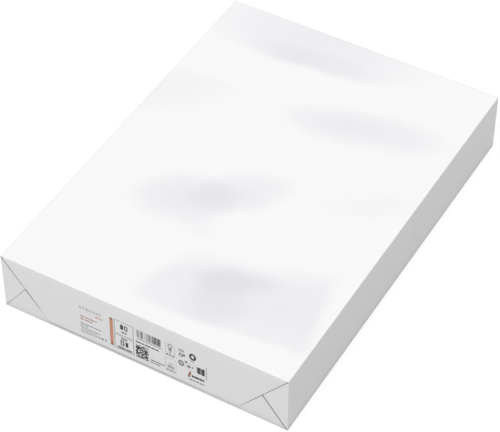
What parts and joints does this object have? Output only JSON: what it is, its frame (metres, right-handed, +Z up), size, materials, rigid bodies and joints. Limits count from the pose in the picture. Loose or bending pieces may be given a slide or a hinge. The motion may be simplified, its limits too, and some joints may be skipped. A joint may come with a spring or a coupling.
{
  "type": "ream of paper",
  "caption": "Flat rectangular pack of large office paper sheets, sealed in a plain white paper wrapper with folded ends.",
  "frame": {"origin": "middle of the underside, on the surface that the pack lies on", "axes": "+X to the right across the labelled end, +Y along the pack away from the labelled end, +Z up"},
  "size_m": [0.2974, 0.4226, 0.0653],
  "materials": {
    "wrapper_paper": "smooth satin white, printed with soft pale grey patches and a small end label"
  },
  "bodies": {
    "root": {"wrapped_ream": "wrapper_paper"}
  },
  "joints": []
}
